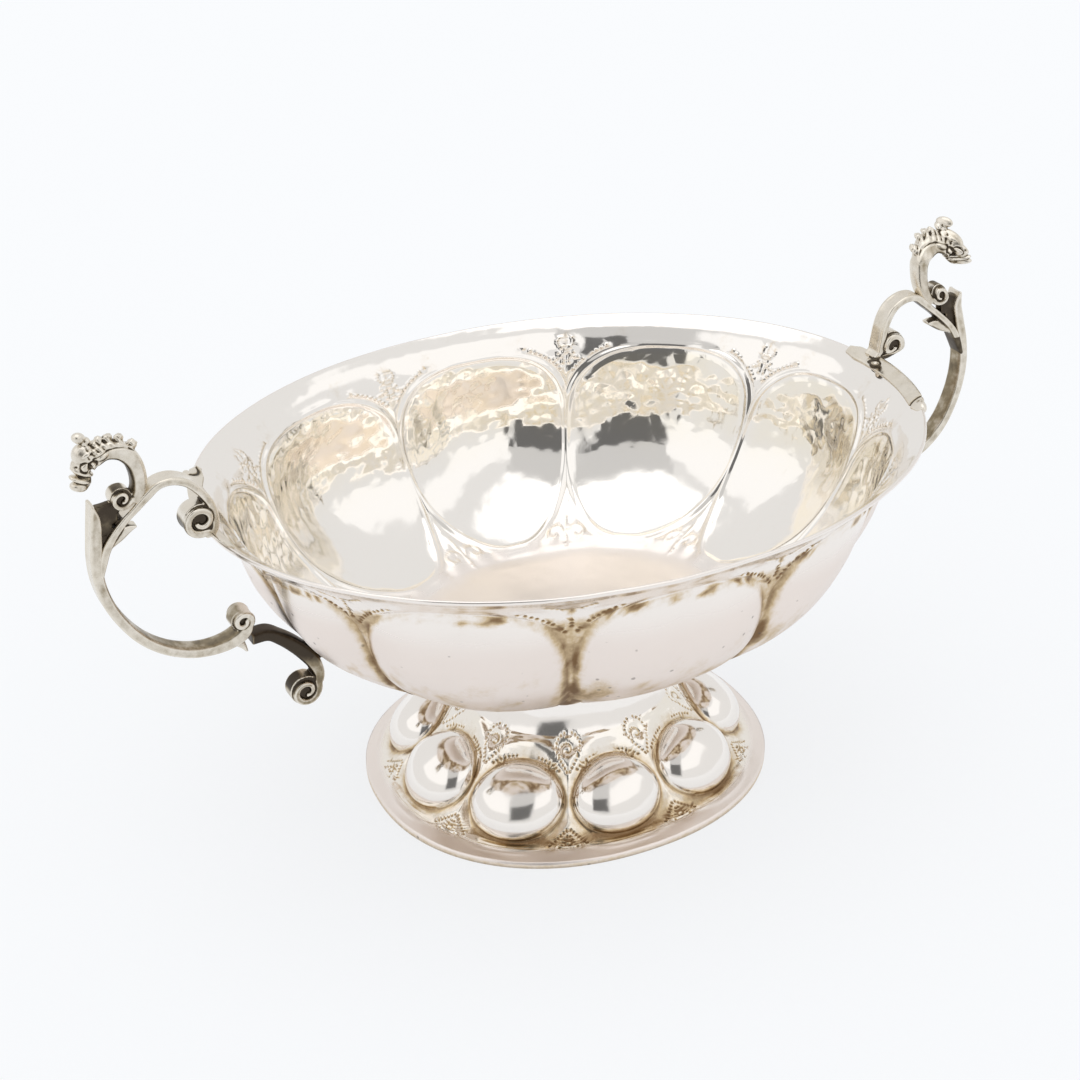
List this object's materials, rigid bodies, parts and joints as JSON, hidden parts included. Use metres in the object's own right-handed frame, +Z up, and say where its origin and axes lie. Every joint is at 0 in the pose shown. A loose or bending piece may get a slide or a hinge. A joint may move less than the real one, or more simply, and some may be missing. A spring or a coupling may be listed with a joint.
{
  "type": "brandy bowl",
  "caption": "Oval lobed silver brandy bowl on a bossed oval foot, with a pair of cast scroll handles that end in beast heads.",
  "frame": {"origin": "centre of the bounding box at the base, on the surface that the foot rests on", "axes": "+Z up, +X along the long axis from handle to handle, +Y across"},
  "size_m": [0.2161, 0.1218, 0.1104],
  "materials": {
    "chased_silver": "raised and chased silver sheet, polished, with brown tarnish in the hollows",
    "cast_silver": "cast silver, softly polished, darker in the crevices"
  },
  "bodies": {
    "root": {"bowl": "chased_silver", "foot": "chased_silver", "right_arm": "cast_silver", "right_grip": "cast_silver", "right_head": "cast_silver", "right_bracket": "cast_silver", "right_rim_strip": "cast_silver", "left_arm": "cast_silver", "left_grip": "cast_silver", "left_head": "cast_silver", "left_bracket": "cast_silver", "left_rim_strip": "cast_silver"}
  },
  "joints": []
}
